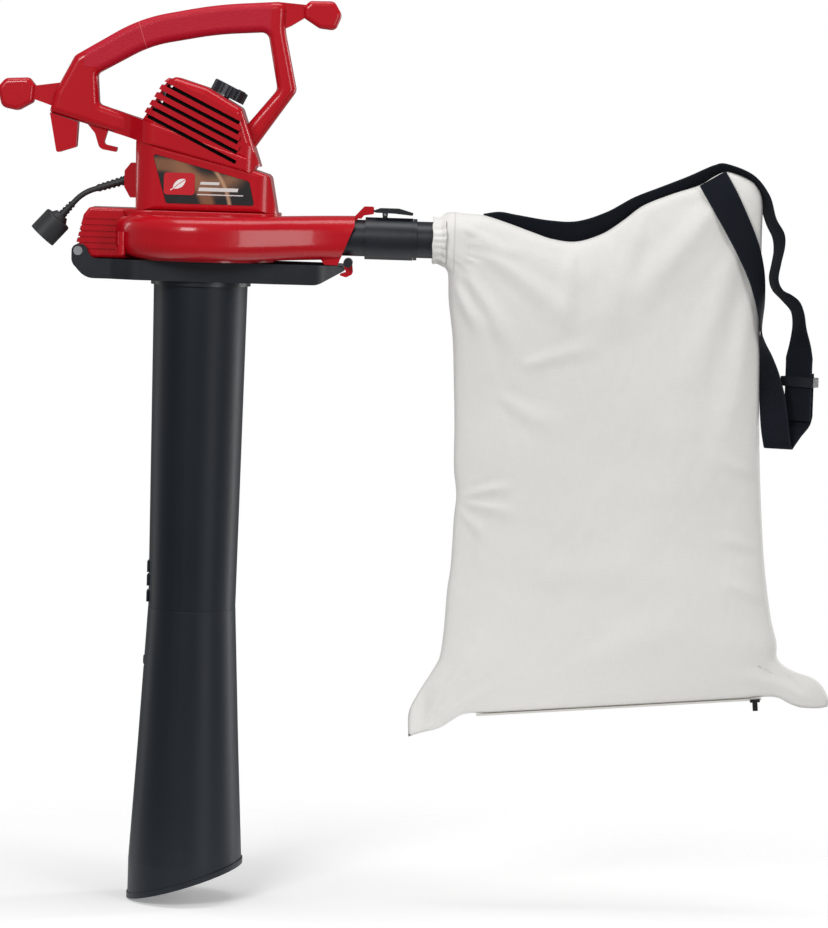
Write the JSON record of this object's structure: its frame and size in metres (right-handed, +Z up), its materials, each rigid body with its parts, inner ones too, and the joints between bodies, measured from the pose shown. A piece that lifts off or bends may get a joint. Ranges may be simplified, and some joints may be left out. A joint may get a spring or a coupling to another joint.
{
  "type": "leaf vacuum mulcher",
  "caption": "Hand-held electric leaf vacuum and mulcher: red power head with loop handle, black suction tube and a canvas collection bag on a shoulder strap.",
  "frame": {"origin": "point on the impeller axis in the plane where the inlet frame closes under the volute", "axes": "+Z up the impeller axis, +X forward to the outlet and the bag, -Y the operator's right-hand side"},
  "size_m": [1.0515, 0.2249, 1.1263],
  "materials": {
    "red_shell": "gloss",
    "label": "satin",
    "badge": "gloss",
    "black_plastic": "satin",
    "tube_plastic": "satin",
    "switch_plastic": "matte",
    "lamination": "satin",
    "copper": "satin",
    "copper_bar": "gloss",
    "steel": "satin",
    "carbon": "matte",
    "brass": "satin",
    "cast_alloy": "satin",
    "rubber": "matte",
    "canvas": "matte",
    "webbing": "matte",
    "zip_metal": "satin"
  },
  "bodies": {
    "machine": {"housing_left": "red_shell", "housing_right": "red_shell", "volute_upper": "red_shell", "volute_lower": "red_shell", "label_left": "label", "label_right": "label", "badge_left": "badge", "badge_right": "badge", "cord_keeper": "red_shell", "cord_hook": "red_shell", "speed_switch": "switch_plastic", "stator_core": "lamination", "field_coils": "copper", "lower_bearing": "steel", "upper_bearing": "steel", "brushes": "carbon", "brush_springs": "steel", "brush_holders": "brass", "bearing_bridge": "switch_plastic", "interlock_switch": "switch_plastic", "housing_screws": "steel", "volute_screws": "steel", "hinge_pin": "steel", "latch_pin": "black_plastic", "relief_machine": "rubber", "cord": "rubber", "relief_plug": "rubber", "plug_body": "rubber", "plug_blades": "brass"},
    "rotor": {"rotor_shaft": "steel", "armature_core": "lamination", "armature_windings": "copper", "commutator": "copper_bar", "cooling_fan": "black_plastic", "impeller": "cast_alloy", "impeller_nut": "steel"},
    "dial": {"speed_dial": "black_plastic"},
    "plunger": {"interlock_plunger": "switch_plastic"},
    "frame": {"inlet_frame": "black_plastic", "vac_tube_upper": "tube_plastic"},
    "latch_lever": {"frame_latch": "red_shell"},
    "nozzle": {"vac_tube_lower": "tube_plastic"},
    "button": {"tube_button": "tube_plastic"},
    "adapter": {"outlet_adapter": "black_plastic", "bag_tube": "black_plastic", "release_pin": "steel"},
    "adapter_latch": {"release_latch": "black_plastic"},
    "bag_body": {"bag": "canvas", "neck_band": "webbing", "strap_long": "webbing", "strap_short": "webbing", "zip_chain": "webbing"},
    "slider": {"strap_slider": "black_plastic"},
    "zip": {"zip_slider": "zip_metal"}
  },
  "joints": [
    {"name": "impeller_spin", "type": "hinge", "parent": "machine", "child": "rotor", "pos_m": [0, 0, 0.1], "axis": [0, 0, 1], "continuous": true},
    {"name": "dial_turn", "type": "hinge", "parent": "machine", "child": "dial", "pos_m": [0.0255, 0, 0.2065], "axis": [0.4384, 0, 0.8988], "range_deg": [0, 270]},
    {"name": "interlock_press", "type": "slide", "parent": "machine", "child": "plunger", "axis": [0, 0, -1], "range_m": [0, 0.004]},
    {"name": "frame_open", "type": "hinge", "parent": "machine", "child": "frame", "pos_m": [-0.1495, 0, 0.0125], "axis": [0, 1, 0], "range_deg": [0, 90]},
    {"name": "frame_latch_press", "type": "hinge", "parent": "machine", "child": "latch_lever", "pos_m": [0.183, -0.04, 0.0076], "axis": [0, -1, 0], "range_deg": [0, 25], "stiffness_Nm_per_rad": 0.12},
    {"name": "nozzle_lift_off", "type": "slide", "parent": "frame", "child": "nozzle", "axis": [0, 0, -1], "range_m": [0, 0.12]},
    {"name": "tube_button_press", "type": "slide", "parent": "nozzle", "child": "button", "axis": [1, 0, 0], "range_m": [0, 0.004], "stiffness_N_per_m": 300},
    {"name": "adapter_lift_off", "type": "slide", "parent": "machine", "child": "adapter", "axis": [1, 0, 0], "range_m": [0, 0.05]},
    {"name": "adapter_latch_lift", "type": "hinge", "parent": "adapter", "child": "adapter_latch", "pos_m": [0.227, -0.04, 0.0685], "axis": [0, -1, 0], "range_deg": [0, 8], "stiffness_Nm_per_rad": 0.15},
    {"name": "bag_lift_off", "type": "slide", "parent": "adapter", "child": "bag_body", "axis": [1, 0, 0], "range_m": [0, 0.06]},
    {"name": "strap_adjust", "type": "slide", "parent": "bag_body", "child": "slider", "axis": [0, 0, 1], "range_m": [-0.03, 0.015]},
    {"name": "zip_open", "type": "slide", "parent": "bag_body", "child": "zip", "axis": [-0.9961, 0, -0.088], "range_m": [0, 0.325]}
  ],
  "couplings": [
    {"joint": "interlock_press", "follows": "frame_open", "m_per_rad": 0.002546}
  ]
}
